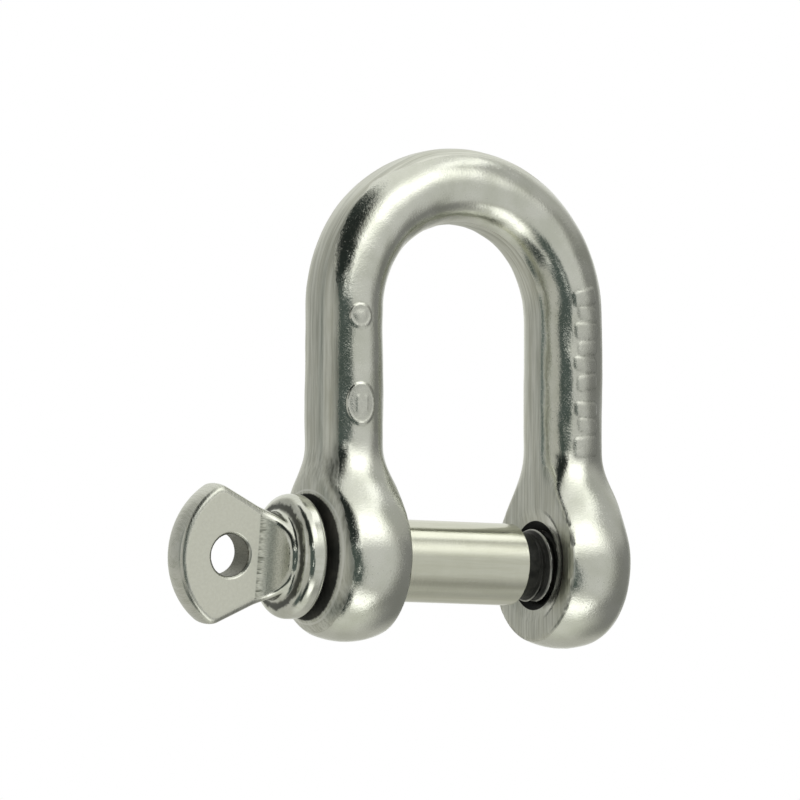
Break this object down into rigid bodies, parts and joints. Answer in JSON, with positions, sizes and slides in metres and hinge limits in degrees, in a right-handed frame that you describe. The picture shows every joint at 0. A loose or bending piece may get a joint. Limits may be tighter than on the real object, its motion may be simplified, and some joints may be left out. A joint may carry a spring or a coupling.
{
  "type": "dee shackle",
  "caption": "Screw-pin dee shackle: a U-shaped forged bow with two eyes, closed by a threaded pin with a flat spade head.",
  "frame": {"origin": "on the screw pin's axis, midway between the two ears", "axes": "+X along the pin from its spade head to its threaded end, +Z from the pin up to the crown, +Y completes the right-handed frame and points out of the back of the bow"},
  "size_m": [0.0486, 0.0162, 0.0491],
  "materials": {
    "bow": "mirror-polished stainless steel, belt-ground and satin on the outside and inside edges",
    "pin": "polished stainless steel, satin on the milled flats",
    "thread": "machined stainless steel"
  },
  "bodies": {
    "bow": {"bow": "bow"},
    "pin_travel": {"pin_neck": "thread"},
    "pin_turning": {"screw_pin": "pin", "pin_thread": "thread"}
  },
  "joints": [
    {"name": "pin_advance", "type": "slide", "parent": "bow", "child": "pin_travel", "axis": [-1, 0, 0], "range_m": [-0.00063, 0.00825]},
    {"name": "pin_turn", "type": "hinge", "parent": "pin_travel", "child": "pin_turning", "pos_m": [0, 0, 0], "axis": [-1, 0, 0], "range_deg": [-180, 2376]}
  ],
  "couplings": [
    {"joint": "pin_turn", "follows": "pin_advance", "rad_per_m": 5026.5}
  ]
}
